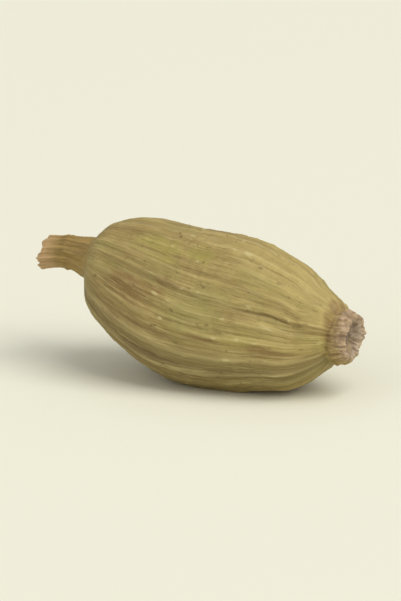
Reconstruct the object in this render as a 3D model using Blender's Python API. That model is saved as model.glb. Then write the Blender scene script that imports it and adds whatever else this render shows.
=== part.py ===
"""One dried green cardamom pod, picked and lying on its side, in metres, +Z up.

The pod is a single grown piece: a stub of stalk, a blunt three-lobed capsule with raised ribs along it, and
the short collar that the dried flower leaves at the tip. It lies with its stalk end raised, on a small flat
spot on the side that faces down. +X runs towards the tip, and the origin is under the middle of its box.
"""

import math
import random

import bmesh
import bpy
from mathutils import Matrix, Vector

MM = 0.001

# Driving sizes
BODY_LENGTH = 13.0 * MM
BODY_WIDTH = 7.4 * MM
STALK_LENGTH = 2.6 * MM
STALK_WIDTH = 1.5 * MM
COLLAR_LENGTH = 1.0 * MM
COLLAR_WIDTH = 2.9 * MM
TILT = math.radians(8.5)

# Outline of the capsule from the stalk's root to the collar's root: share of its length, share of its half width
CAPSULE_OUTLINE = (
    (0.000, 0.30),
    (0.012, 0.38),
    (0.055, 0.60),
    (0.120, 0.74),
    (0.230, 0.88),
    (0.420, 1.00),
    (0.620, 0.98),
    (0.780, 0.85),
    (0.880, 0.73),
    (0.955, 0.58),
    (1.000, 0.44),
)
# Its middle line, seen from the side: share of its length, rise. It sags, so that the underside is nearly flat
CAPSULE_RISE = (
    (0.00, 0.18 * MM),
    (0.15, -0.20 * MM),
    (0.35, -0.71 * MM),
    (0.50, -0.79 * MM),
    (0.65, -0.64 * MM),
    (0.80, -0.46 * MM),
    (0.90, -0.42 * MM),
    (1.00, -0.12 * MM),
)
CAPSULE_RINGS = 32

# Cross-section: three lobes, one of them on top, with a shallow furrow between each two. Ribs run along it, the
# highest along the lobes, and go on as fine flutes over the stalk and the collar, which are slightly oval
LOBES = 3
LOBE_SHARE = 0.055
OVAL_SHARE = 0.06
FURROW_DEPTH = 0.06 * MM
RIBS_PER_LOBE = 8
RIB_HEIGHT = 0.11 * MM
KEEL_SHARE = 1.30
FLUTE_SHARE = 0.25
RIB_SPREAD = 0.26
COLUMNS_PER_RIB = 4
TWIST = math.radians(9)

# The capsule bows a little to one side, and the stalk droops
BOW = 0.16 * MM
STALK_DROOP = 125.0

DENT_DEPTH = 0.07 * MM
FLAT_DEPTH = 0.18 * MM

HUSK_COLOUR = (0.352, 0.275, 0.106, 1.0)
HUSK_ROUGHNESS = 0.62
SEED = 7


def clear_scene():
    for obj in list(bpy.data.objects):
        bpy.data.objects.remove(obj)


def eased(value, low, high):
    """0 at low, 1 at high, with a smooth start and end."""
    share = min(1.0, max(0.0, (value - low) / (high - low)))
    return share * share * (3 - 2 * share)


def smooth_through(points, place):
    """Height at a place of the smooth curve through the points, which runs on straight past its ends."""
    last = len(points) - 1

    def slope(n):
        before, after = points[max(0, n - 1)], points[min(last, n + 1)]
        return (after[1] - before[1]) / (after[0] - before[0])

    if place < points[0][0]:
        return points[0][1] + slope(0) * (place - points[0][0])
    if place > points[last][0]:
        return points[last][1] + slope(last) * (place - points[last][0])
    n = max(i for i in range(last) if points[i][0] <= place)
    (x0, y0), (x1, y1) = points[n], points[n + 1]
    width = x1 - x0
    t = (place - x0) / width
    return (
        (2 * t**3 - 3 * t**2 + 1) * y0
        + (t**3 - 2 * t**2 + t) * width * slope(n)
        + (3 * t**2 - 2 * t**3) * y1
        + (t**3 - t**2) * width * slope(n + 1)
    )


def middle_line(along):
    """Point of the pod's middle line at a distance from the stalk's root, before the pod is tilted."""
    share = along / BODY_LENGTH
    rise = smooth_through(CAPSULE_RISE, share) - STALK_DROOP * min(0.0, along) ** 2
    return Vector((along - BODY_LENGTH / 2, BOW * math.sin(math.pi * share), rise))


def section_frame(along):
    """Middle point, sideways and upward directions of the cross-section at a distance from the stalk's root."""
    step = 0.05 * MM
    ahead = (middle_line(along + step) - middle_line(along - step)).normalized()
    side = Vector((0, 0, 1)).cross(ahead).normalized()
    return middle_line(along), side, ahead.cross(side)


def rib_places():
    """Angle of each rib round the section, unevenly spaced, and how far it stands out."""
    draw = random.Random(SEED)
    count = LOBES * RIBS_PER_LOBE
    places = []
    for n in range(count):
        keel = n % RIBS_PER_LOBE == 0
        shift = 0 if keel else draw.uniform(-RIB_SPREAD, RIB_SPREAD)
        height = KEEL_SHARE if keel else draw.uniform(0.5, 1.15)
        places.append((math.pi / 2 + math.tau * (n + shift) / count, height))
    return places


def columns(ribs):
    """Angle and relief of each column of the mesh: the crest of a rib, its two flanks and the valley after it."""
    found = []
    for n, (angle, height) in enumerate(ribs):
        next_angle, next_height = ribs[(n + 1) % len(ribs)]
        gap = (next_angle - angle) % math.tau
        for column in range(COLUMNS_PER_RIB):
            share = column / COLUMNS_PER_RIB
            crest = height * (1 - share) + next_height * share
            wave = (0.5 + 0.5 * math.cos(math.tau * share)) ** 1.3
            found.append((angle + gap * share, crest * wave))
    return found


def section_radius(angle, relief, along, radius):
    """Distance of the husk from the middle line: round near both ends, lobed, ribbed and dented between them."""
    share = along / BODY_LENGTH
    grown = eased(share, 0.0, 0.12) * (1 - eased(share, 0.90, 1.0))
    ribbed = FLUTE_SHARE + (1 - FLUTE_SHARE) * eased(share, -0.02, 0.18) * (1 - eased(share, 0.84, 0.99))
    lobe = math.cos(LOBES * (angle - math.pi / 2))
    furrow = max(0.0, -lobe) ** 12
    dent = math.sin(2 * angle + 5.2 * share + 0.7) + 0.6 * math.sin(11 * share - angle + 2.1)
    return (
        radius * (1 + LOBE_SHARE * grown * lobe + OVAL_SHARE * (1 - grown) * math.cos(2 * angle + 1.2))
        + RIB_HEIGHT * ribbed * (relief - 0.5)
        - FURROW_DEPTH * grown * furrow
        + DENT_DEPTH * grown * dent
    )


def stations():
    """Every ring from the pit in the stalk's broken end to the collar's cup: distance along, half width."""
    stalk, collar = STALK_WIDTH / 2, COLLAR_WIDTH / 2
    end = BODY_LENGTH + COLLAR_LENGTH
    found = [
        (-STALK_LENGTH + 0.30 * MM, 0.45 * stalk),
        (-STALK_LENGTH + 0.04 * MM, 0.62 * stalk),
        (-STALK_LENGTH, 0.92 * stalk),
        (-STALK_LENGTH + 0.08 * MM, 1.12 * stalk),
        (-0.78 * STALK_LENGTH, 1.05 * stalk),
        (-0.45 * STALK_LENGTH, 1.06 * stalk),
        (-0.13 * STALK_LENGTH, 1.36 * stalk),
    ]
    for n in range(CAPSULE_RINGS + 1):
        share = (1 - math.cos(math.pi * n / CAPSULE_RINGS)) / 2
        found.append((share * BODY_LENGTH, smooth_through(CAPSULE_OUTLINE, share) * BODY_WIDTH / 2))
    found += [
        (BODY_LENGTH + 0.07 * COLLAR_LENGTH, 0.92 * collar),
        (BODY_LENGTH + 0.30 * COLLAR_LENGTH, 0.97 * collar),
        (BODY_LENGTH + 0.70 * COLLAR_LENGTH, 0.94 * collar),
        (end - 0.03 * MM, 0.84 * collar),
        (end, 0.75 * collar),
        (end - 0.07 * MM, 0.67 * collar),
        (end - 0.28 * MM, 0.50 * collar),
        (end - 0.35 * MM, 0.26 * collar),
    ]
    return found


def loft_pod(bm):
    """Rings of the pod, skinned from one end to the other and closed with a fan at each end."""
    lines = columns(rib_places())
    rings = []
    for along, radius in stations():
        middle, side, up = section_frame(along)
        turn = TWIST * (along / BODY_LENGTH - 0.5)
        ring = []
        for angle, relief in lines:
            reach = section_radius(angle, relief, along, radius)
            out = side * math.cos(angle + turn) + up * math.sin(angle + turn)
            ring.append(bm.verts.new(middle + out * reach))
        rings.append(ring)
    for ring, following in zip(rings, rings[1:]):
        for n in range(len(ring)):
            after = (n + 1) % len(ring)
            bm.faces.new((ring[n], ring[after], following[after], following[n]))
    for ring, along in ((rings[0], stations()[0][0]), (rings[-1], stations()[-1][0])):
        centre = bm.verts.new(middle_line(along))
        for n in range(len(ring)):
            bm.faces.new((ring[n], ring[(n + 1) % len(ring)], centre))
    bmesh.ops.recalc_face_normals(bm, faces=bm.faces)


def rest_on_flat(bm):
    """Tilts the pod, cuts its lowest side to a small flat spot, and stands that spot on the ground."""
    bmesh.ops.transform(bm, matrix=Matrix.Rotation(TILT, 4, "Y"), verts=bm.verts)
    level = min(v.co.z for v in bm.verts) + FLAT_DEPTH
    everything = bm.verts[:] + bm.edges[:] + bm.faces[:]
    bmesh.ops.bisect_plane(
        bm, geom=everything, dist=1e-9, plane_co=(0, 0, level), plane_no=(0, 0, -1), clear_outer=True
    )
    bmesh.ops.holes_fill(bm, edges=[e for e in bm.edges if e.is_boundary])
    for axis in (0, 1):
        values = [v.co[axis] for v in bm.verts]
        middle = (min(values) + max(values)) / 2
        for v in bm.verts:
            v.co[axis] -= middle
    for v in bm.verts:
        v.co.z -= level
    bmesh.ops.recalc_face_normals(bm, faces=bm.faces)


def husk_material():
    """Dry, matt capsule wall."""
    material = bpy.data.materials.new("dried_husk")
    material.use_nodes = True
    shader = material.node_tree.nodes["Principled BSDF"]
    shader.inputs["Base Color"].default_value = HUSK_COLOUR
    shader.inputs["Roughness"].default_value = HUSK_ROUGHNESS
    shader.inputs["Metallic"].default_value = 0.0
    return material


def make_pod():
    bm = bmesh.new()
    loft_pod(bm)
    rest_on_flat(bm)
    mesh = bpy.data.meshes.new("pod")
    bm.to_mesh(mesh)
    bm.free()
    mesh.shade_smooth()
    mesh.materials.append(husk_material())
    pod = bpy.data.objects.new("pod", mesh)
    bpy.context.scene.collection.objects.link(pod)
    return pod


clear_scene()
make_pod()
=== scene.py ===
import math
import random

import bpy
import numpy as np
from mathutils import Matrix, Vector, noise


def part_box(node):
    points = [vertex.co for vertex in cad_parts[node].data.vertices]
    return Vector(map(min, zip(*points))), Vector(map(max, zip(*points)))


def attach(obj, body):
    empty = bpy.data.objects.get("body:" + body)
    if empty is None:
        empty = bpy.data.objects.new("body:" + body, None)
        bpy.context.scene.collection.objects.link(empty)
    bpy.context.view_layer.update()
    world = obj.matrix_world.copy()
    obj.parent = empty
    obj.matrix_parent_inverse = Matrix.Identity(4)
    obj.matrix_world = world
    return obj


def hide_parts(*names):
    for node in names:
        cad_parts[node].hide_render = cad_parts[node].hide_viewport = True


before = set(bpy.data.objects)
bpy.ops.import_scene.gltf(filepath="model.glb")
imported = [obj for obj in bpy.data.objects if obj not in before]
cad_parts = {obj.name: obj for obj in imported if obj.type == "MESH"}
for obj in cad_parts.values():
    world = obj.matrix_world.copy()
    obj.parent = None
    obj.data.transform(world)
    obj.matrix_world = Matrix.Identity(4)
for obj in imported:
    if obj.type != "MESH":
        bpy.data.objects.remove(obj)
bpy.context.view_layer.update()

MM = 0.001

# The pod's own sizes, the same as those of its solid
BODY_LENGTH = 13.0 * MM
BODY_WIDTH = 7.4 * MM
STALK_LENGTH = 2.6 * MM
STALK_WIDTH = 1.5 * MM
COLLAR_LENGTH = 1.0 * MM
COLLAR_WIDTH = 2.9 * MM
TILT = math.radians(8.5)
TWIST = math.radians(9)
BOW = 0.16 * MM
# The stalk falls by this much times the square of the distance from its root, both in metres
STALK_DROOP = 125.0

# Outline of the capsule from the stalk's root to the collar's root: share of its length, of its half width
CAPSULE_OUTLINE = (
    (0.000, 0.30),
    (0.012, 0.38),
    (0.055, 0.60),
    (0.120, 0.74),
    (0.230, 0.88),
    (0.420, 1.00),
    (0.620, 0.98),
    (0.780, 0.85),
    (0.880, 0.73),
    (0.955, 0.58),
    (1.000, 0.44),
)
# Its middle line, seen from the side: share of its length, rise
CAPSULE_RISE = (
    (0.00, 0.18 * MM),
    (0.15, -0.20 * MM),
    (0.35, -0.71 * MM),
    (0.50, -0.79 * MM),
    (0.65, -0.64 * MM),
    (0.80, -0.46 * MM),
    (0.90, -0.42 * MM),
    (1.00, -0.12 * MM),
)
# Outlines of the stalk's broken end, of the rest of the stalk, and of the collar down into its cup: distance
# in from the end or share of the length, then share of the half width. The cup's middle stands up a little
STALK_END = (
    (0.20 * MM, 0.30),
    (0.15 * MM, 0.55),
    (0.05 * MM, 0.78),
    (0.00 * MM, 0.95),
    (0.05 * MM, 1.08),
    (0.16 * MM, 1.13),
)
STALK_OUTLINE = ((0.84, 1.08), (0.70, 1.04), (0.55, 1.04), (0.40, 1.08), (0.26, 1.19), (0.12, 1.37))
COLLAR_OUTLINE = (
    (0.07, 0.92),
    (0.24, 0.96),
    (0.46, 0.97),
    (0.68, 0.94),
    (0.86, 0.89),
    (0.97, 0.83),
    (1.00, 0.75),
    (0.96, 0.69),
    (0.85, 0.61),
    (0.70, 0.48),
    (0.63, 0.27),
)
CUP_MIDDLE_RISE = 0.02 * MM

# Cage of the husk: points round it, rings along the capsule, and how often it is subdivided
AROUND = 80
CAPSULE_RINGS = 52
SUBDIVISIONS = 2
# Less than this from the middle line, a point has no outward direction
NO_REACH = 0.001 * MM

# Lobes, furrows, ribs and dents, the same as those of the solid. Each rib stands out by a share of the rib
# height, drawn between these two, and the keel of each lobe by more
LOBES = 3
LOBE_SHARE = 0.055
OVAL_SHARE = 0.06
OVAL_TURN = 1.2
FURROW_DEPTH = 0.06 * MM
FURROW_SHARPNESS = 12
RIBS_PER_LOBE = 8
RIB_HEIGHT = 0.11 * MM
RIB_SHARES = (0.5, 1.15)
KEEL_SHARE = 1.30
FLUTE_SHARE = 0.25
RIB_SPREAD = 0.26
DENT_DEPTH = 0.07 * MM
SEED = 7
# Dents are waves that cross: how often each goes round, radians along the capsule, start, share of the depth
DENT_WAVES = ((2, 5.2, 0.7, 1.0), (-1, 11.0, 2.1, 0.6))

# Where each form comes in or fades along the pod, between two shares of the capsule's length
STALK_FADES = (-0.03, 0.01)
COLLAR_STARTS = (0.985, 1.01)
LOBES_START = (0.0, 0.12)
LOBES_FADE = (0.90, 1.0)
RIBS_START = (-0.02, 0.18)
RIBS_FADE = (0.84, 0.99)
BEADS_THICKEN = (0.12, 0.45)
FOLDS_START = (0.91, 1.02)
# Where relief comes in, lumpy end faces stop and the cup stops, between two shares of the half width
STALK_RELIEF_STARTS = (0.30, 0.70)
COLLAR_RELIEF_STARTS = (0.12, 0.40)
STALK_FACE_STOPS = (0.75, 1.0)
COLLAR_FACE_STOPS = (0.62, 0.80)
CUP_STOPS = (0.50, 0.80)

# The finished ribs: each is a thin cord on a broad swell. They sway and kink by these angles in radians, and
# what is lower than their level is sunk into the skin
RIB_SWAY = 0.06
RIB_KINK = 0.018
RIB_LEVEL = 0.34
SWELL_SHARE = 0.50
SWELL_ROUNDNESS = 1.2
CORD_SHARPNESS = 5

# Slow changes along each rib, vein or strand: length, strength, and where the random draw starts
RIB_CHANGES = ((2.3 * MM, 0.40, 0), (0.6 * MM, 0.20, 90), (5.5 * MM, 0.32, 170))
VEIN_WAVER = (1.3 * MM, 0.35, 40)
VEIN_FADE = (1.7 * MM, 0.40, 0)
VEIN_STEADY = 0.6
VEIN_PATCH = (4.0 * MM, 0.60, 210)
STRAND_WAVER = (0.9 * MM, 0.80, 3)

# Seams, with their half angle in radians, veins, wrinkles, pebbling, hollows and grit
SEAM_DEPTH = 0.03 * MM
SEAM_HALF_ANGLE = 0.035
VEINS_PER_RIB = 4
VEIN_HEIGHT = 0.044 * MM
VEIN_LOST_ON_CORD = 0.7
WRINKLE_HEIGHT = 0.036 * MM
WRINKLES_ANYWHERE = 0.25
WRINKLES_IN_AREAS = 1.1
WRINKLED_AREAS = (-0.25, 0.45)
PEBBLE_HEIGHT = 0.034 * MM
PEBBLES_LOST_ON_CORD = 0.5
HOLLOW_DEPTH = 0.12 * MM
GRIT_HEIGHT = 0.014 * MM

# Short raised marks along the ribs, one in most steps of this pitch, and fainter ones at the root. Each
# draws how much longer it is than the shortest, its shift along and aside, and its strength
BEAD_PITCH = 0.95 * MM
BEAD_HEIGHT = 0.035 * MM
BEAD_HALF_LENGTH = 0.128 * MM
BEAD_LONGER = 0.32 * MM
BEAD_ROW_SHIFT = 3
BEAD_SHIFT = 0.4
BEAD_ASIDE = 1.4
BEAD_SLIMNESS = 10
BEAD_STRENGTH = (0.25, 0.95)
BEADS_AT_ROOT = 0.3

# Strands of the stalk, with finer and uneven ones between them, and the ring where its scale grew
STRANDS = 11
STRAND_HEIGHT = 0.050 * MM
FINER_STRANDS = 2.3
FINER_STRAND_SHARE = 0.5
FINER_STRAND_TURN_PER_MM = 0.4
UNEVEN_STRAND_SHARE = 0.8
STALK_KNOT_PLACE = 1.35 * MM
STALK_KNOT_LENGTH = 0.16 * MM
STALK_KNOT_HEIGHT = 0.07 * MM

# Folds of the withered tip: crests, slack stretches and crumpling
FOLDS = 12
FOLD_HEIGHT = 0.11 * MM
FOLD_SWAY = 0.22
FOLD_SHARPNESS = 1.3
FOLD_CRESTS = 0.9
FOLD_LEVEL = 0.35
FOLD_SLACK = 0.9
FOLD_CRUMPLE = 0.8

# Both ends: how ragged their rims are, how much of that is torn, stepped or folded, which stretch of the
# stalk and of the collar it takes in, how near the middle it flattens, and the lumps on the end faces
RAGGED = 0.15 * MM
STALK_TORN = 0.9
STALK_STEPPED = 1.4
COLLAR_FOLDED = 0.2
STALK_RIM = (-STALK_LENGTH + 0.02 * MM, -0.80 * STALK_LENGTH)
COLLAR_RIM = (BODY_LENGTH + 0.40 * COLLAR_LENGTH, BODY_LENGTH + COLLAR_LENGTH)
RAGGED_FROM_MIDDLE = 0.5 * MM
END_LUMP_HEIGHT = 0.085 * MM

# Factors of the steady random values, large and uneven so that neighbours come out unlike
SPECKLE_BY_LINE = 12.9898
SPECKLE_BY_CELL = 78.233
SPECKLE_SCALE = 43758.5453

# Soft noise of each uneven form: length along the husk and width round it in millimetres, octaves, and shift
NOISE_FALLOFF = 0.6
NOISE_STEP = 2.1
UNEVEN = {
    "sway": (4.0, 2.4, 1, 0.0),
    "kink": (0.7, 1.5, 1, 3.3),
    "wrinkles": (0.42, 0.75, 2, 5.3),
    "wrinkled areas": (2.6, 1.5, 1, 2.2),
    "pebbles": (0.55, 0.55, 1, 8.8),
    "hollows": (5.12, 3.2, 1, 9.1),
    "grit": (0.16, 0.16, 2, 2.7),
    "strands": (1.4, 0.9, 2, 6.1),
    "turned folds": (1.2, 1.6, 1, 7.7),
    "crumpled folds": (0.9, 0.5, 3, 1.4),
    "slack folds": (2.0, 1.9, 1, 3.9),
    "torn rims": (1.2, 1.2, 2, 4.2),
    "stepped break": (3.2, 3.2, 1, 7.1),
    "end lumps": (1.04, 0.26, 3, 0.6),
    "stain edges": (1.6, 0.45, 3, 6.6),
}

# Painted shade on the side that lies low, by how far it faces down, eased where it faces straight down as
# painted light bounced from the floor, and how much the painted highlights on raised marks lose on it
LOW_SHADE_STARTS = (-0.05, 0.45)
LOW_SHADE_EASES = (0.50, 0.80)
LOW_SHADE_EASING = 0.5
HIGHLIGHTS_LOST_LOW = 0.6
# How much painted shade the finish puts in furrows, along seams and in folds, and the height that counts as
# neither crest nor valley
FURROW_SHADE = 0.6
SEAM_SHADE = 0.4
FOLD_SHADE = 0.7
FOLD_SHADE_LEVEL = 0.5
NEITHER_HIGH_NOR_LOW = 0.5

# Stains the husk dried with, which have uneven edges
STAIN_UNEVENNESS = 0.9
# Each stain: share of the capsule's length, degrees round it, length and width in millimetres, strength
GREEN_STAINS = (
    (0.28, 122, 3.6, 1.7, 0.9),
    (0.48, 117, 3.0, 1.2, 0.8),
    (0.74, 176, 2.2, 0.7, 0.7),
    (0.40, 171, 1.3, 0.5, 0.8),
    (0.62, 196, 2.4, 0.8, 0.6),
    (0.35, 20, 3.6, 1.7, 0.9),
    (0.66, 350, 3.0, 1.6, 0.8),
    (0.50, 275, 3.2, 1.5, 0.7),
)
BROWN_STAINS = (
    (0.27, 158, 2.0, 0.6, 0.9),
    (0.26, 167, 4.4, 2.4, 0.85),
    (0.37, 148, 1.6, 0.4, 0.8),
    (0.25, 173, 1.0, 0.3, 1.0),
    (0.37, 177, 0.8, 0.3, 0.9),
    (0.22, 195, 1.6, 0.7, 0.8),
    (0.36, 207, 2.2, 0.8, 0.8),
    (0.58, 182, 1.8, 0.4, 0.6),
    (0.93, 200, 1.0, 0.6, 0.5),
    (0.84, 187, 3.6, 1.8, 0.5),
    (0.17, 176, 3.0, 2.2, 0.5),
    (0.30, 55, 1.8, 0.6, 0.9),
    (0.72, 15, 2.2, 0.7, 0.8),
    (0.55, 310, 2.6, 0.9, 0.9),
    (0.82, 75, 1.4, 0.5, 0.7),
)

# Patterns of the finish: width across the husk and length along it in millimetres, detail, and shift in
# millimetres. A real husk's fibres are about 0.02 mm thick, too fine to show, so these are drawn coarser
HUSK_PATTERNS = (
    ("patch", 3.0, 5.5, 4, 0),
    ("other_patch", 2.4, 5.3, 4, 31),
    ("stripe", 0.67, 6.7, 4, 13),
    ("fibre", 0.125, 3.1, 3, 57),
    ("thread", 0.048, 1.4, 2, 91),
    ("crazing", 0.33, 0.13, 3, 29),
    ("freckle", 0.38, 0.48, 3, 71),
    ("ripple", 0.90, 0.90, 3, 43),
)
PATTERN_ROUGHNESS = 0.6
TANGLE_SIZE = 0.19 * MM
TANGLE_DETAIL = 4
TANGLE_ROUGHNESS = 0.65
# Edges that a pattern breaks up: name, pattern, how much of it, and what it is added to
HUSK_EDGES = (
    ("green_frayed", "stripe", 1.4, "green"),
    ("brown_frayed", "stripe", 1.4, "brown"),
    # The painted highlight on the raised marks, broken up along the fibres
    ("bead_highlights", "fibre", 1.3, "beads"),
    ("rooted", "stripe", 0.10, "along"),
    ("wavy", "ripple", 0.05, "along"),
)
# Colours of the finish, each laid over the last: how much it covers at most, and what it follows, with where
# it starts to show and where it shows in full. Places along the pod are shares of the capsule's length
HUSK_BASE = "#A8935B"
HUSK_COLOURS = (
    # The wall, yellower towards the tip, with olive and brown patches
    ("#B9A566", 1.00, ("along", 0.30, 0.90)),
    ("#9A9554", 0.55, ("patch", 0.50, 0.66)),
    ("#8F7446", 0.60, ("other_patch", 0.52, 0.70)),
    # Stains that fray out along its stripes, and painted shade on the side that lies low
    ("#A29A4C", 0.66, ("green_frayed", 0.80, 1.55)),
    ("#84643A", 0.75, ("brown_frayed", 0.80, 1.50)),
    ("#7A6B47", 0.66, ("low", 0.0, 1.0)),
    # Painted shade in valleys, stripes, pale and dark fibres, a painted highlight on rib crests and on the
    # raised marks, threads, freckles, and painted shade in furrows and along seams
    ("#85723F", 0.25, ("swell", 0.40, 0.0)),
    ("#6F5934", 0.50, ("stripe", 0.55, 0.70)),
    ("#C3B27A", 0.45, ("fibre", 0.52, 0.68)),
    ("#75633A", 0.45, ("fibre", 0.48, 0.32)),
    ("#BFAE76", 0.30, ("crest", 0.3, 1.0)),
    ("#CFC28C", 0.60, ("bead_highlights", 0.95, 1.45)),
    ("#CDBD86", 0.30, ("thread", 0.56, 0.68)),
    ("#6D5C35", 0.30, ("thread", 0.44, 0.32)),
    ("#66502F", 0.60, ("freckle", 0.63, 0.74)),
    ("#77643D", 0.15, ("seam", 0.2, 0.9)),
    # The stalk, tan with painted shade in its grooves and a paler, pinker broken end
    ("#A98E54", 1.00, ("rooted", 0.085, 0.015)),
    ("#66512F", 0.40, ("folds", 0.45, 1.0), ("along", 0.0, -0.02)),
    ("#C8A87A", 1.00, ("along", -0.11, -0.18)),
    # The collar, brown at its root, then dry tan, then withered to a pinkish grey, with painted shade in its
    # folds
    ("#957B4D", 0.70, ("wavy", 1.026, 1.046)),
    ("#B59C69", 0.80, ("wavy", 1.044, 1.060)),
    ("#C0A484", 0.88, ("wavy", 1.069, 1.092)),
    ("#8C7457", 0.50, ("folds", 0.35, 0.95), ("wavy", 1.036, 1.056)),
    # Its cup, a tangle of withered fibres that darkens towards the middle, with painted shade in its folds
    ("#C6B39D", 0.85, ("cup", 0.05, 0.55), ("along", 1.035, 1.055)),
    ("#8D7965", 0.70, ("cup", 0.60, 1.0), ("along", 1.035, 1.055)),
    ("#CBB89F", 0.60, ("tangle", 0.52, 0.66), ("along", 1.035, 1.055)),
    ("#6F5A46", 0.60, ("tangle", 0.49, 0.36), ("along", 1.035, 1.055)),
    ("#8A745C", 0.40, ("folds", 0.45, 1.0), ("along", 1.035, 1.055)),
)
# Fine relief of the finish, too low to be modelled: its patterns and their shares beside the fibres
FINE_RELIEF = (("crazing", 0.45), ("stripe", 0.60), ("freckle", 0.35), ("thread", 0.30))
FINE_RELIEF_HEIGHT = 0.050 * MM
FINE_RELIEF_STRENGTH = 0.9
# Dry plant fibre is matt, smoother in the dark lines between fibres than on pale ones
FIBRE_RANGE = (0.3, 0.7)
HUSK_ROUGHNESS = (0.50, 0.70)
HUSK_IOR = 1.45
HUSK_SPECULAR = 0.35

# The room: floor, wall and soft lights, each with its name, degrees round the pod and up, watts and colour
FLOOR_SIZE = 3000 * MM
FLOOR_COLOUR = "#EDECDA"
FLOOR_ROUGHNESS = 0.9
WALL_COLOUR = "#EDEBDA"
ROOM_LIGHT_COLOUR = "#FFFFFF"
ROOM_LIGHT = 0.48
LIGHT_DISTANCE = 3000 * MM
LIGHT_SIZE = 2500 * MM
LIGHTS = (("key", 80, 52, 70.0, "#FFFCF6"), ("fill", -30, 30, 11.5, "#FBFCFF"))

CAMERA_AZIMUTH = 26
CAMERA_ELEVATION = 16
CAMERA_DISTANCE = 400 * MM
CAMERA_SENSOR = 36
CAMERA_LENS = 500
CAMERA_NEAR = 10 * MM
CAMERA_FAR = 10000 * MM


def linear(hex_colour):
    """A colour written as sRGB hex, as Blender's linear red, green, blue and alpha."""
    parts = [int(hex_colour[n : n + 2], 16) / 255 for n in (1, 3, 5)]
    return tuple(c / 12.92 if c <= 0.04045 else ((c + 0.055) / 1.055) ** 2.4 for c in parts) + (1.0,)


def eased(value, low, high):
    """0 at low, 1 at high, with a smooth start and end, for one value or an array."""
    share = np.clip((value - low) / (high - low), 0.0, 1.0)
    return share * share * (3 - 2 * share)


def smooth_through(points, place):
    """Height at a place of the smooth curve through the points, which runs on straight past its ends."""
    last = len(points) - 1

    def slope(n):
        before, after = points[max(0, n - 1)], points[min(last, n + 1)]
        return (after[1] - before[1]) / (after[0] - before[0])

    if place < points[0][0]:
        return points[0][1] + slope(0) * (place - points[0][0])
    if place > points[last][0]:
        return points[last][1] + slope(last) * (place - points[last][0])
    n = max(i for i in range(last) if points[i][0] <= place)
    (x0, y0), (x1, y1) = points[n], points[n + 1]
    width = x1 - x0
    t = (place - x0) / width
    return (
        (2 * t**3 - 3 * t**2 + 1) * y0
        + (t**3 - 2 * t**2 + t) * width * slope(n)
        + (3 * t**2 - 2 * t**3) * y1
        + (t**3 - t**2) * width * slope(n + 1)
    )


def middle_line(along):
    """Point of the pod's middle line at a distance from the stalk's root, before the pod is tilted."""
    share = along / BODY_LENGTH
    rise = smooth_through(CAPSULE_RISE, share) - STALK_DROOP * min(0.0, along) ** 2
    return Vector((along - BODY_LENGTH / 2, BOW * math.sin(math.pi * share), rise))


def rib_places():
    """Angle of each rib round the section, unevenly spaced, and how far it stands out."""
    draw = random.Random(SEED)
    count = LOBES * RIBS_PER_LOBE
    places = []
    for n in range(count):
        keel = n % RIBS_PER_LOBE == 0
        shift = 0 if keel else draw.uniform(-RIB_SPREAD, RIB_SPREAD)
        height = KEEL_SHARE if keel else draw.uniform(*RIB_SHARES)
        places.append((math.pi / 2 + math.tau * (n + shift) / count, height))
    return places


def stations():
    """Every ring from the stalk's end to the bottom of the collar's cup: distance along, half width."""
    stalk, collar = STALK_WIDTH / 2, COLLAR_WIDTH / 2
    found = [(-STALK_LENGTH + inwards, width * stalk) for inwards, width in STALK_END]
    found += [(-share * STALK_LENGTH, width * stalk) for share, width in STALK_OUTLINE]
    for n in range(CAPSULE_RINGS + 1):
        even = n / CAPSULE_RINGS
        crowded = (1 - math.cos(math.pi * even)) / 2
        share = (even + crowded) / 2
        found.append((share * BODY_LENGTH, smooth_through(CAPSULE_OUTLINE, share) * BODY_WIDTH / 2))
    found += [(BODY_LENGTH + share * COLLAR_LENGTH, width * collar) for share, width in COLLAR_OUTLINE]
    return found


def deselect_all():
    """Leaves nothing selected, so that an operator acts only on what is made next."""
    for obj in bpy.context.selected_objects:
        obj.select_set(False)


def draw_out_husk():
    """The pod's smooth skin: a ring of points, extruded station by station from the stalk to the cup."""
    deselect_all()
    rings = stations()
    along, half_width = rings[0]
    middle = middle_line(along)
    bpy.ops.mesh.primitive_circle_add(
        vertices=AROUND, radius=half_width, fill_type="TRIFAN", location=middle, rotation=(0, math.pi / 2, 0)
    )
    husk = bpy.context.object
    husk.name = "pod_husk"
    bpy.ops.object.transform_apply(location=True, rotation=True, scale=True)
    select_rim(husk, middle, half_width)
    for following, wider in rings[1:]:
        ahead = middle_line(following)
        bpy.ops.mesh.extrude_region_move(TRANSFORM_OT_translate={"value": ahead - middle})
        grow = wider / half_width
        bpy.ops.transform.resize(value=(1, grow, grow), center_override=ahead)
        half_width, middle = wider, ahead
    bpy.ops.mesh.extrude_region_move(TRANSFORM_OT_translate={"value": (CUP_MIDDLE_RISE, 0, 0)})
    bpy.ops.mesh.merge(type="CENTER")
    bpy.ops.mesh.select_all(action="SELECT")
    bpy.ops.mesh.normals_make_consistent(inside=False)
    bpy.ops.object.mode_set(mode="OBJECT")
    smooth = husk.modifiers.new("smooth", "SUBSURF")
    smooth.levels = SUBDIVISIONS
    smooth.render_levels = SUBDIVISIONS
    bpy.ops.object.modifier_apply(modifier=smooth.name)
    bpy.ops.object.shade_smooth()
    return husk


def select_rim(husk, middle, half_width):
    """Opens the first ring for editing with only its rim selected, and not the fan that closes it."""
    for v in husk.data.vertices:
        v.select = (v.co - middle).length > half_width / 2
    for e in husk.data.edges:
        e.select = all(husk.data.vertices[n].select for n in e.vertices)
    for f in husk.data.polygons:
        f.select = False
    bpy.ops.object.mode_set(mode="EDIT")
    bpy.ops.mesh.select_mode(type="VERT")


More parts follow.
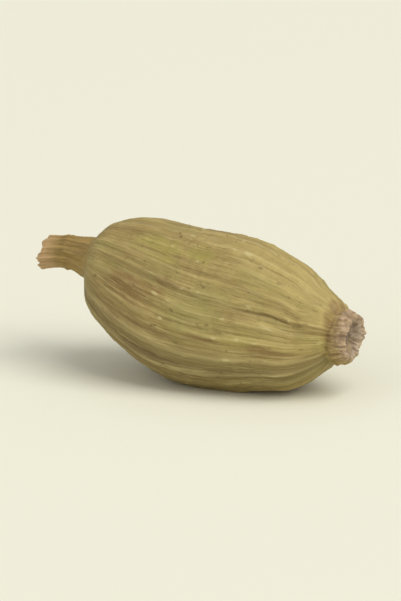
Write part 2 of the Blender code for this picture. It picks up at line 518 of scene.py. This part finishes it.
def unrolled(points):
    """Distance along, angle round and reach of each point from the pod's middle line, found step by step."""
    samples, steps = 600, 3
    dense = np.linspace(-1.3 * STALK_LENGTH, BODY_LENGTH + 1.5 * COLLAR_LENGTH, samples)
    line = np.array([middle_line(a) for a in dense])
    slopes = np.gradient(line[:, 2], dense)

    def offset_and_slope(along):
        middle = np.column_stack([np.interp(along, dense, line[:, axis]) for axis in range(3)])
        return points - middle, np.interp(along, dense, slopes)

    along = np.interp(points[:, 0], line[:, 0], dense)
    for _ in range(steps):
        off, slope = offset_and_slope(along)
        along = along + (off[:, 0] + slope * off[:, 2]) / (1 + slope**2)
    off, slope = offset_and_slope(along)
    rise = (off[:, 2] - slope * off[:, 0]) / np.sqrt(1 + slope**2)
    turn = TWIST * (along / BODY_LENGTH - 0.5)
    return along, np.arctan2(rise, off[:, 1]) - turn, np.hypot(rise, off[:, 1])


def speckle(line, cell):
    """One steady random value from 0 to 1 for each pair of whole numbers."""
    wild = np.sin(line * SPECKLE_BY_LINE + cell * SPECKLE_BY_CELL) * SPECKLE_SCALE
    return wild - np.floor(wild)


def drift(line, place):
    """A smooth random value from -1 to 1, new for each whole step of place and for each line's number."""
    cell = np.floor(place)
    between = eased(place - cell, 0.0, 1.0)
    low, high = speckle(line, cell), speckle(line, cell + 1)
    return 2 * (low * (1 - between) + high * between) - 1


def wandering(line, along, change):
    """One of the slow changes, at distances along the pod, on lines that are told apart by their numbers."""
    length, strength, start = change
    return strength * drift(line + start, along / length)


def cloudy(places, name):
    """Soft noise from about -1 to 1 at each place, in lumps as large as those of the named uneven form."""
    length, width, octaves, shift = UNEVEN[name]
    scaled = places / (np.array((length, width, width)) * MM) + shift
    return np.array([noise.fractal(Vector(p), NOISE_FALLOFF, NOISE_STEP, octaves) for p in scaled])


def survey(points):
    """Where each point lies on the pod: along, angle, reach, grain, and how much it is of each part."""
    at = {"place": points}
    at["along"], at["angle"], at["reach"] = unrolled(points)
    at["share"] = share = at["along"] / BODY_LENGTH
    half = BODY_WIDTH / 2
    at["grain"] = np.column_stack([at["along"], np.cos(at["angle"]) * half, np.sin(at["angle"]) * half])
    at["stalk"] = stalk = 1 - eased(share, *STALK_FADES)
    at["collar"] = collar = eased(share, *COLLAR_STARTS)
    at["capsule"] = capsule = (1 - stalk) * (1 - collar)
    at["grown"] = eased(share, *LOBES_START) * (1 - eased(share, *LOBES_FADE))
    full = eased(share, *RIBS_START) * (1 - eased(share, *RIBS_FADE))
    at["ribbed"] = FLUTE_SHARE + (1 - FLUTE_SHARE) * full
    at["radius"] = half * np.array([smooth_through(CAPSULE_OUTLINE, s) for s in np.clip(share, 0.0, 1.0)])
    outer = stalk * STALK_WIDTH / 2 + collar * COLLAR_WIDTH / 2 + capsule * at["radius"]
    outwards = at["reach"] / outer
    on_collar = eased(outwards, *COLLAR_RELIEF_STARTS)
    at["skin"] = eased(outwards, *STALK_RELIEF_STARTS) * (1 - collar) + on_collar * collar
    return at


def find_ribs(at):
    """Adds each point's rib, its share of the way to the next one, the nearer of both, and their form."""
    places = rib_places()
    edges = np.array([angle for angle, _ in places] + [places[0][0] + math.tau])
    heights = np.array([height for _, height in places] + [places[0][1]])
    sway = RIB_SWAY * cloudy(at["grain"], "sway")
    swayed = at["angle"] + sway + RIB_KINK * cloudy(at["grain"], "kink")
    wrapped = edges[0] + np.mod(swayed - edges[0], math.tau)
    rib = np.clip(np.searchsorted(edges, wrapped, side="right") - 1, 0, len(places) - 1)
    phase = (wrapped - edges[rib]) / (edges[rib + 1] - edges[rib])
    nearest = np.where(phase > 0.5, (rib + 1) % len(places), rib)
    lively = 1
    for change in RIB_CHANGES:
        lively = lively + wandering(nearest, at["along"], change)
    height = (heights[rib] * (1 - phase) + heights[rib + 1] * phase) * lively
    wave = 0.5 + 0.5 * np.cos(math.tau * phase)
    at["rib"], at["phase"], at["nearest"] = rib, phase, nearest
    at["cord"] = wave**CORD_SHARPNESS
    at["cord_height"] = at["cord"] * height
    at["crest"] = height * (SWELL_SHARE * wave**SWELL_ROUNDNESS + (1 - SWELL_SHARE) * at["cord"])


def veins(at):
    """Height of the fine veins between the ribs, which waver, come and go."""
    along, nearest = at["along"], at["nearest"]
    phase = VEINS_PER_RIB * at["phase"] + wandering(nearest, along, VEIN_WAVER)
    number = np.round(phase) + VEINS_PER_RIB * at["rib"]
    strength = VEIN_STEADY + wandering(number, along, VEIN_FADE)
    patches = 1 + wandering(nearest, along, VEIN_PATCH)
    return np.cos(math.tau * phase) * strength * (1 - VEIN_LOST_ON_CORD * at["cord"]) * patches


def beads(at):
    """How much each point lies on one of the short raised marks along the ribs, fainter near the root."""
    nearest = at["nearest"]
    place = at["along"] / BEAD_PITCH + BEAD_ROW_SHIFT * speckle(nearest, nearest)
    cell = np.floor(place)
    # What is added to a rib's number gives each of its values a draw of its own
    centre = cell + 0.5 + BEAD_SHIFT * (speckle(nearest, cell) - 0.5)
    half_length = BEAD_HALF_LENGTH + BEAD_LONGER * speckle(nearest + 3, cell) ** 2
    lengthwise = np.exp(-(((place - centre) * BEAD_PITCH / half_length) ** 2))
    aside = math.tau * at["phase"] + BEAD_ASIDE * (speckle(nearest + 5, cell) - 0.5)
    crosswise = (0.5 + 0.5 * np.cos(aside)) ** BEAD_SLIMNESS
    strength = eased(speckle(nearest + 7, cell), *BEAD_STRENGTH)
    strength = strength * (BEADS_AT_ROOT + (1 - BEADS_AT_ROOT) * eased(at["share"], *BEADS_THICKEN))
    return strength * lengthwise * crosswise


def stalk_form(at):
    """Height of the stalk's strands, and of the ring on it where its scale grew."""
    angle, along = at["angle"], at["along"]
    strands = np.cos(STRANDS * angle + wandering(np.zeros(len(along)), along, STRAND_WAVER))
    finer = np.cos(FINER_STRANDS * STRANDS * angle + FINER_STRAND_TURN_PER_MM * along / MM)
    strands += FINER_STRAND_SHARE * finer + UNEVEN_STRAND_SHARE * cloudy(at["grain"], "strands")
    knot = np.exp(-(((along + STALK_KNOT_PLACE) / STALK_KNOT_LENGTH) ** 2))
    return STRAND_HEIGHT * strands + STALK_KNOT_HEIGHT * knot


def withered_folds(at):
    """Folds of the tip from about -1 to 1: narrow ridges, crumpled, with slack stretches between them."""
    grain = at["grain"]
    turned = at["angle"] + FOLD_SWAY * cloudy(grain, "turned folds")
    ridges = 1 - np.abs(np.sin(FOLDS * turned / 2))
    crests = FOLD_CRESTS * ridges**FOLD_SHARPNESS - FOLD_LEVEL
    slack = FOLD_SLACK * cloudy(grain, "slack folds")
    return crests + slack + FOLD_CRUMPLE * cloudy(grain, "crumpled folds")


def raised(at):
    """How far each point of the smooth skin is raised. The survey also gets its beads, folds and furrows."""
    angle, share, grain, grown = at["angle"], at["share"], at["grain"], at["grown"]
    find_ribs(at)
    at["beads"] = beads(at)
    at["folds"] = withered_folds(at)
    lobe = np.cos(LOBES * (angle - math.pi / 2))
    at["furrow"] = np.maximum(0.0, -lobe) ** FURROW_SHARPNESS
    from_seam = np.abs(np.mod(angle - math.pi / 2, math.tau / LOBES) - math.pi / LOBES)
    at["seam"] = np.exp(-((from_seam / SEAM_HALF_ANGLE) ** 2))
    dent = sum(
        depth * np.sin(around * angle + lengthwise * share + start)
        for around, lengthwise, start, depth in DENT_WAVES
    )
    areas = eased(cloudy(grain, "wrinkled areas"), *WRINKLED_AREAS)
    wrinkles = (WRINKLES_ANYWHERE + WRINKLES_IN_AREAS * areas) * cloudy(grain, "wrinkles")
    off_cord = 1 - PEBBLES_LOST_ON_CORD * np.clip(at["cord_height"], 0, 1)
    on_capsule = (
        at["radius"] * LOBE_SHARE * grown * lobe
        + VEIN_HEIGHT * at["ribbed"] * veins(at)
        + BEAD_HEIGHT * at["ribbed"] * at["beads"]
        + PEBBLE_HEIGHT * cloudy(grain, "pebbles") * off_cord
    )
    return (
        at["capsule"] * on_capsule
        + at["stalk"] * stalk_form(at)
        + at["reach"] * OVAL_SHARE * (1 - grown) * np.cos(2 * angle + OVAL_TURN)
        + RIB_HEIGHT * at["ribbed"] * (at["crest"] - RIB_LEVEL)
        + WRINKLE_HEIGHT * at["ribbed"] * wrinkles
        + HOLLOW_DEPTH * grown * cloudy(grain, "hollows")
        + DENT_DEPTH * grown * dent
        - (FURROW_DEPTH * at["furrow"] + SEAM_DEPTH * at["seam"]) * grown
        + FOLD_HEIGHT * eased(share, *FOLDS_START) * at["folds"]
        + GRIT_HEIGHT * cloudy(grain, "grit")
    )


def broken_ends(at):
    """How far each point of both ends moves along the pod: ragged rims, and faces of lumpy fibres."""
    along, share, reach = at["along"], at["share"], at["reach"]
    stalk_rim = 1 - eased(along, *STALK_RIM)
    collar_rim = eased(along, *COLLAR_RIM)
    from_middle = np.minimum(1.0, reach / RAGGED_FROM_MIDDLE)[:, None]
    flat_grain = at["grain"] * np.array([0.0, 1.0, 1.0]) * from_middle
    torn = cloudy(flat_grain, "torn rims")
    stepped = cloudy(flat_grain, "stepped break")
    rims = collar_rim * (torn + COLLAR_FOLDED * at["folds"])
    rims -= stalk_rim * (STALK_TORN * torn + STALK_STEPPED * stepped)
    facing = np.where(share > 0.5, 1 - eased(reach / (COLLAR_WIDTH / 2), *COLLAR_FACE_STOPS), 0)
    facing += np.where(share < 0.0, 1 - eased(reach / (STALK_WIDTH / 2), *STALK_FACE_STOPS), 0)
    return RAGGED * rims + END_LUMP_HEIGHT * facing * cloudy(at["place"], "end lumps")


def stained(at, stains):
    """How strongly each point shows stains, which run along the husk and have uneven edges."""
    shown = np.zeros(len(at["along"]))
    half = BODY_WIDTH / 2
    for share, degrees, length, width, strength in stains:
        along = (at["along"] - share * BODY_LENGTH) / (length / 2 * MM)
        turn = np.mod(at["angle"] - math.radians(degrees) + math.pi, math.tau) - math.pi
        across = turn * half / (width / 2 * MM)
        shown = np.maximum(shown, strength * np.exp(-(along**2) - across**2))
    return np.clip(shown * (1 + STAIN_UNEVENNESS * cloudy(at["grain"], "stain edges")), 0, 1)


def carve_husk(husk):
    """Raises lobes, ribs, wrinkles and folds out of the smooth skin, and keeps what the finish reads."""
    mesh = husk.data
    points = np.empty(len(mesh.vertices) * 3)
    mesh.vertices.foreach_get("co", points)
    points = points.reshape(-1, 3)
    at = survey(points)
    middle = np.array([middle_line(a) for a in at["along"]])
    out = (points - middle) / np.maximum(at["reach"], NO_REACH)[:, None]
    out[:, 0] = 0
    carved = points + out * (raised(at) * at["skin"])[:, None]
    carved[:, 0] += broken_ends(at)
    mesh.vertices.foreach_set("co", carved.ravel())
    keep_for_finish(mesh, at)


def keep_for_finish(mesh, at):
    """Stores on each point of the mesh what the finish reads. Past both ends of the capsule nothing is crest
    or valley, and the painted highlights on raised marks are fainter in the painted shade of the side that
    lies low."""
    capsule = at["capsule"]
    downwards = -np.sin(at["angle"])
    easing = 1 - LOW_SHADE_EASING * eased(downwards, *LOW_SHADE_EASES)
    # Painted shade on the side that faces down, eased where it faces straight down as painted light bounced
    # from the floor
    low_side_shade = eased(downwards, *LOW_SHADE_STARTS) * easing
    kept = {
        "place": at["place"],
        "grain": at["grain"],
        "along": at["share"],
        # Painted highlight on rib crests, and painted shade in the valleys between them
        "crest": np.clip(at["cord_height"], 0, 1) * capsule,
        "swell": np.clip(at["crest"], 0, 1) * capsule + NEITHER_HIGH_NOR_LOW * (1 - capsule),
        # Painted highlights on the raised marks, fainter in the painted shade of the side that lies low
        "beads": at["beads"] * (1 - HIGHLIGHTS_LOST_LOW * low_side_shade) * capsule,
        # Painted shade in the furrows and along the seams
        "seam": (FURROW_SHADE * at["furrow"] + SEAM_SHADE * at["seam"]) * at["grown"],
        # Painted shade in the hollows of the folds
        "folds": np.clip(FOLD_SHADE_LEVEL - FOLD_SHADE * at["folds"], 0, 1),
        "green": stained(at, GREEN_STAINS) * capsule,
        "brown": stained(at, BROWN_STAINS) * capsule,
        "low": low_side_shade * capsule,
        "cup": 1 - eased(at["reach"] / (COLLAR_WIDTH / 2), *CUP_STOPS),
    }
    for name, values in kept.items():
        kind, key = ("FLOAT", "value") if values.ndim == 1 else ("FLOAT_VECTOR", "vector")
        attribute = mesh.attributes.new(name, kind, "POINT")
        attribute.data.foreach_set(key, values.astype(np.float32).ravel())


def lay_down(husk, low, high):
    """Tilts the husk, stands it where the solid stands, and presses its lowest side flat on the ground."""
    mesh = husk.data
    mesh.transform(Matrix.Rotation(TILT, 4, "Y"))
    points = np.empty(len(mesh.vertices) * 3)
    mesh.vertices.foreach_get("co", points)
    points = points.reshape(-1, 3)
    own_low, own_high = points.min(axis=0), points.max(axis=0)
    points[:, 0] += (low.x + high.x) / 2 - (own_low[0] + own_high[0]) / 2
    points[:, 1] += (low.y + high.y) / 2 - (own_low[1] + own_high[1]) / 2
    points[:, 2] += high.z - own_high[2]
    points[:, 2] = np.maximum(points[:, 2], low.z)
    mesh.vertices.foreach_set("co", points.ravel())
    mesh.update()


def add_node(tree, kind, settings=None, links=None):
    """Adds a node: settings are its properties or unlinked sockets, links are sockets and what feeds them.
    A socket goes by its name, or by its number where others share the name."""
    made = tree.nodes.new(kind)
    for key, value in (settings or {}).items():
        if isinstance(key, int) or key in made.inputs:
            made.inputs[key].default_value = value
        else:
            setattr(made, key, value)
    for key, source in (links or {}).items():
        tree.links.new(source, made.inputs[key])
    return made


def husk_patterns(tree):
    """What the finish follows, by name: kept values, patterns drawn out along the husk, and frayed edges."""
    seen = {}
    for name in ("along", "crest", "swell", "beads", "seam", "folds", "green", "brown", "low", "cup"):
        seen[name] = add_node(tree, "ShaderNodeAttribute", {"attribute_name": name}).outputs["Fac"]
    grain = add_node(tree, "ShaderNodeAttribute", {"attribute_name": "grain"})
    for name, width, length, detail, shift in HUSK_PATTERNS:
        drawn_out = add_node(
            tree,
            "ShaderNodeMapping",
            {"Scale": (width / length, 1, 1), "Location": (shift * MM, shift * MM, 0)},
            {"Vector": grain.outputs["Vector"]},
        )
        seen[name] = add_node(
            tree,
            "ShaderNodeTexNoise",
            {"Scale": 1 / (width * MM), "Detail": detail, "Roughness": PATTERN_ROUGHNESS},
            {"Vector": drawn_out.outputs["Vector"]},
        ).outputs["Fac"]
    place = add_node(tree, "ShaderNodeAttribute", {"attribute_name": "place"})
    seen["tangle"] = add_node(
        tree,
        "ShaderNodeTexNoise",
        {"Scale": 1 / TANGLE_SIZE, "Detail": TANGLE_DETAIL, "Roughness": TANGLE_ROUGHNESS},
        {"Vector": place.outputs["Vector"]},
    ).outputs["Fac"]
    for name, pattern, amount, edge in HUSK_EDGES:
        seen[name] = add_node(
            tree,
            "ShaderNodeMath",
            {"operation": "MULTIPLY_ADD", 1: amount},
            {0: seen[pattern], 2: seen[edge]},
        ).outputs[0]
    return seen


def husk_colour(tree, seen):
    """The finish's colours, each laid over the last where all that it follows lets it show."""
    base = add_node(tree, "ShaderNodeRGB")
    base.outputs[0].default_value = linear(HUSK_BASE)
    colour = base.outputs[0]
    for hex_colour, most, *masks in HUSK_COLOURS:
        cover = None
        for name, start, full in masks:
            links = {"Value": seen[name]} if cover is None else {"Value": seen[name], "To Max": cover}
            cover = add_node(
                tree,
                "ShaderNodeMapRange",
                {"From Min": start, "From Max": full, "To Max": most, "interpolation_type": "SMOOTHSTEP"},
                links,
            ).outputs["Result"]
        colour = add_node(
            tree, "ShaderNodeMix", {"data_type": "RGBA", 7: linear(hex_colour)}, {0: cover, 6: colour}
        ).outputs[2]
    return colour


def dried_husk():
    """Dried cardamom husk: a fibrous, papery fruit wall, air-dried from green to olive straw. It is matt,
    with a faint satin along its fibres, browner in stains, tan on the stalk, and withered to a pinkish grey
    round the tip. Its colour also carries a painted highlight on rib crests and raised marks, and painted
    shade in valleys, furrows, seams and folds and on the side that lies low."""
    material = bpy.data.materials.new("dried_husk")
    material.use_nodes = True
    tree = material.node_tree
    shader = tree.nodes["Principled BSDF"]
    seen = husk_patterns(tree)
    tree.links.new(husk_colour(tree, seen), shader.inputs["Base Color"])

    height = seen["fibre"]
    for name, share in FINE_RELIEF:
        height = add_node(
            tree, "ShaderNodeMath", {"operation": "MULTIPLY_ADD", 1: share}, {0: seen[name], 2: height}
        ).outputs[0]
    relief = add_node(
        tree,
        "ShaderNodeBump",
        {"Strength": FINE_RELIEF_STRENGTH, "Distance": FINE_RELIEF_HEIGHT},
        {"Height": height},
    )
    tree.links.new(relief.outputs["Normal"], shader.inputs["Normal"])
    thin, thick = FIBRE_RANGE
    smooth, matt = HUSK_ROUGHNESS
    roughness = add_node(
        tree,
        "ShaderNodeMapRange",
        {
            "From Min": thin,
            "From Max": thick,
            "To Min": smooth,
            "To Max": matt,
            "interpolation_type": "SMOOTHSTEP",
        },
        {"Value": seen["fibre"]},
    )
    tree.links.new(roughness.outputs["Result"], shader.inputs["Roughness"])
    shader.inputs["Metallic"].default_value = 0.0
    shader.inputs["IOR"].default_value = HUSK_IOR
    shader.inputs["Specular IOR Level"].default_value = HUSK_SPECULAR
    return material


def make_floor(level):
    """A wide floor of pale painted board, matt, so that it only takes the pod's soft shadow."""
    deselect_all()
    bpy.ops.mesh.primitive_plane_add(size=FLOOR_SIZE, location=(0, 0, level))
    floor = bpy.context.object
    floor.name = "floor"
    bpy.ops.object.transform_apply(location=True, rotation=True, scale=True)
    material = bpy.data.materials.new("painted_board")
    material.use_nodes = True
    shader = material.node_tree.nodes["Principled BSDF"]
    shader.inputs["Base Color"].default_value = linear(FLOOR_COLOUR)
    shader.inputs["Roughness"].default_value = FLOOR_ROUGHNESS
    floor.data.materials.append(material)


def direction(degrees_round, degrees_up):
    """Unit vector from the pod towards a place round it; 0 degrees round is in front, on the -Y side."""
    azimuth, elevation = math.radians(degrees_round), math.radians(degrees_up)
    level = math.cos(elevation)
    return Vector((math.sin(azimuth) * level, -math.cos(azimuth) * level, math.sin(elevation)))


def make_light(name, degrees_round, degrees_up, watts, hex_colour):
    """A square soft light in that direction from the pod, aimed at it."""
    light = bpy.data.lights.new(name, "AREA")
    light.size = LIGHT_SIZE
    light.energy = watts
    light.color = linear(hex_colour)[:3]
    lamp = bpy.data.objects.new(name, light)
    bpy.context.scene.collection.objects.link(lamp)
    back = direction(degrees_round, degrees_up)
    lamp.location = back * LIGHT_DISTANCE
    lamp.rotation_euler = (-back).to_track_quat("-Z", "Y").to_euler()


def make_room():
    """Even light from all round, and a pale wall wherever the floor ends."""
    room = bpy.data.worlds.new("pale_room")
    room.use_nodes = True
    tree = room.node_tree
    light = tree.nodes["Background"]
    light.inputs["Color"].default_value = linear(ROOM_LIGHT_COLOUR)
    light.inputs["Strength"].default_value = ROOM_LIGHT
    wall = add_node(tree, "ShaderNodeBackground", {"Color": linear(WALL_COLOUR)})
    looked_at = add_node(tree, "ShaderNodeLightPath").outputs["Is Camera Ray"]
    either = add_node(
        tree,
        "ShaderNodeMixShader",
        links={0: looked_at, 1: light.outputs["Background"], 2: wall.outputs["Background"]},
    )
    tree.links.new(either.outputs["Shader"], tree.nodes["World Output"].inputs["Surface"])
    bpy.context.scene.world = room
    bpy.context.scene.view_settings.view_transform = "Standard"


def make_camera(target):
    """A long lens at the photograph's viewing angle, so that the pod is seen almost without perspective."""
    camera = bpy.data.cameras.new("camera")
    camera.sensor_width = CAMERA_SENSOR
    camera.lens = CAMERA_LENS
    camera.clip_start = CAMERA_NEAR
    camera.clip_end = CAMERA_FAR
    holder = bpy.data.objects.new("camera", camera)
    bpy.context.scene.collection.objects.link(holder)
    back = direction(CAMERA_AZIMUTH, CAMERA_ELEVATION)
    holder.location = target + back * CAMERA_DISTANCE
    holder.rotation_euler = (-back).to_track_quat("-Z", "Y").to_euler()
    bpy.context.scene.camera = holder


low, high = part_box("pod")
husk = draw_out_husk()
carve_husk(husk)
lay_down(husk, low, high)
husk.data.materials.append(dried_husk())
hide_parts("pod")
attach(husk, "root")

make_floor(low.z)
make_room()
for light in LIGHTS:
    make_light(*light)
make_camera(Vector((0.0, 0.0, (low.z + high.z) / 2)))
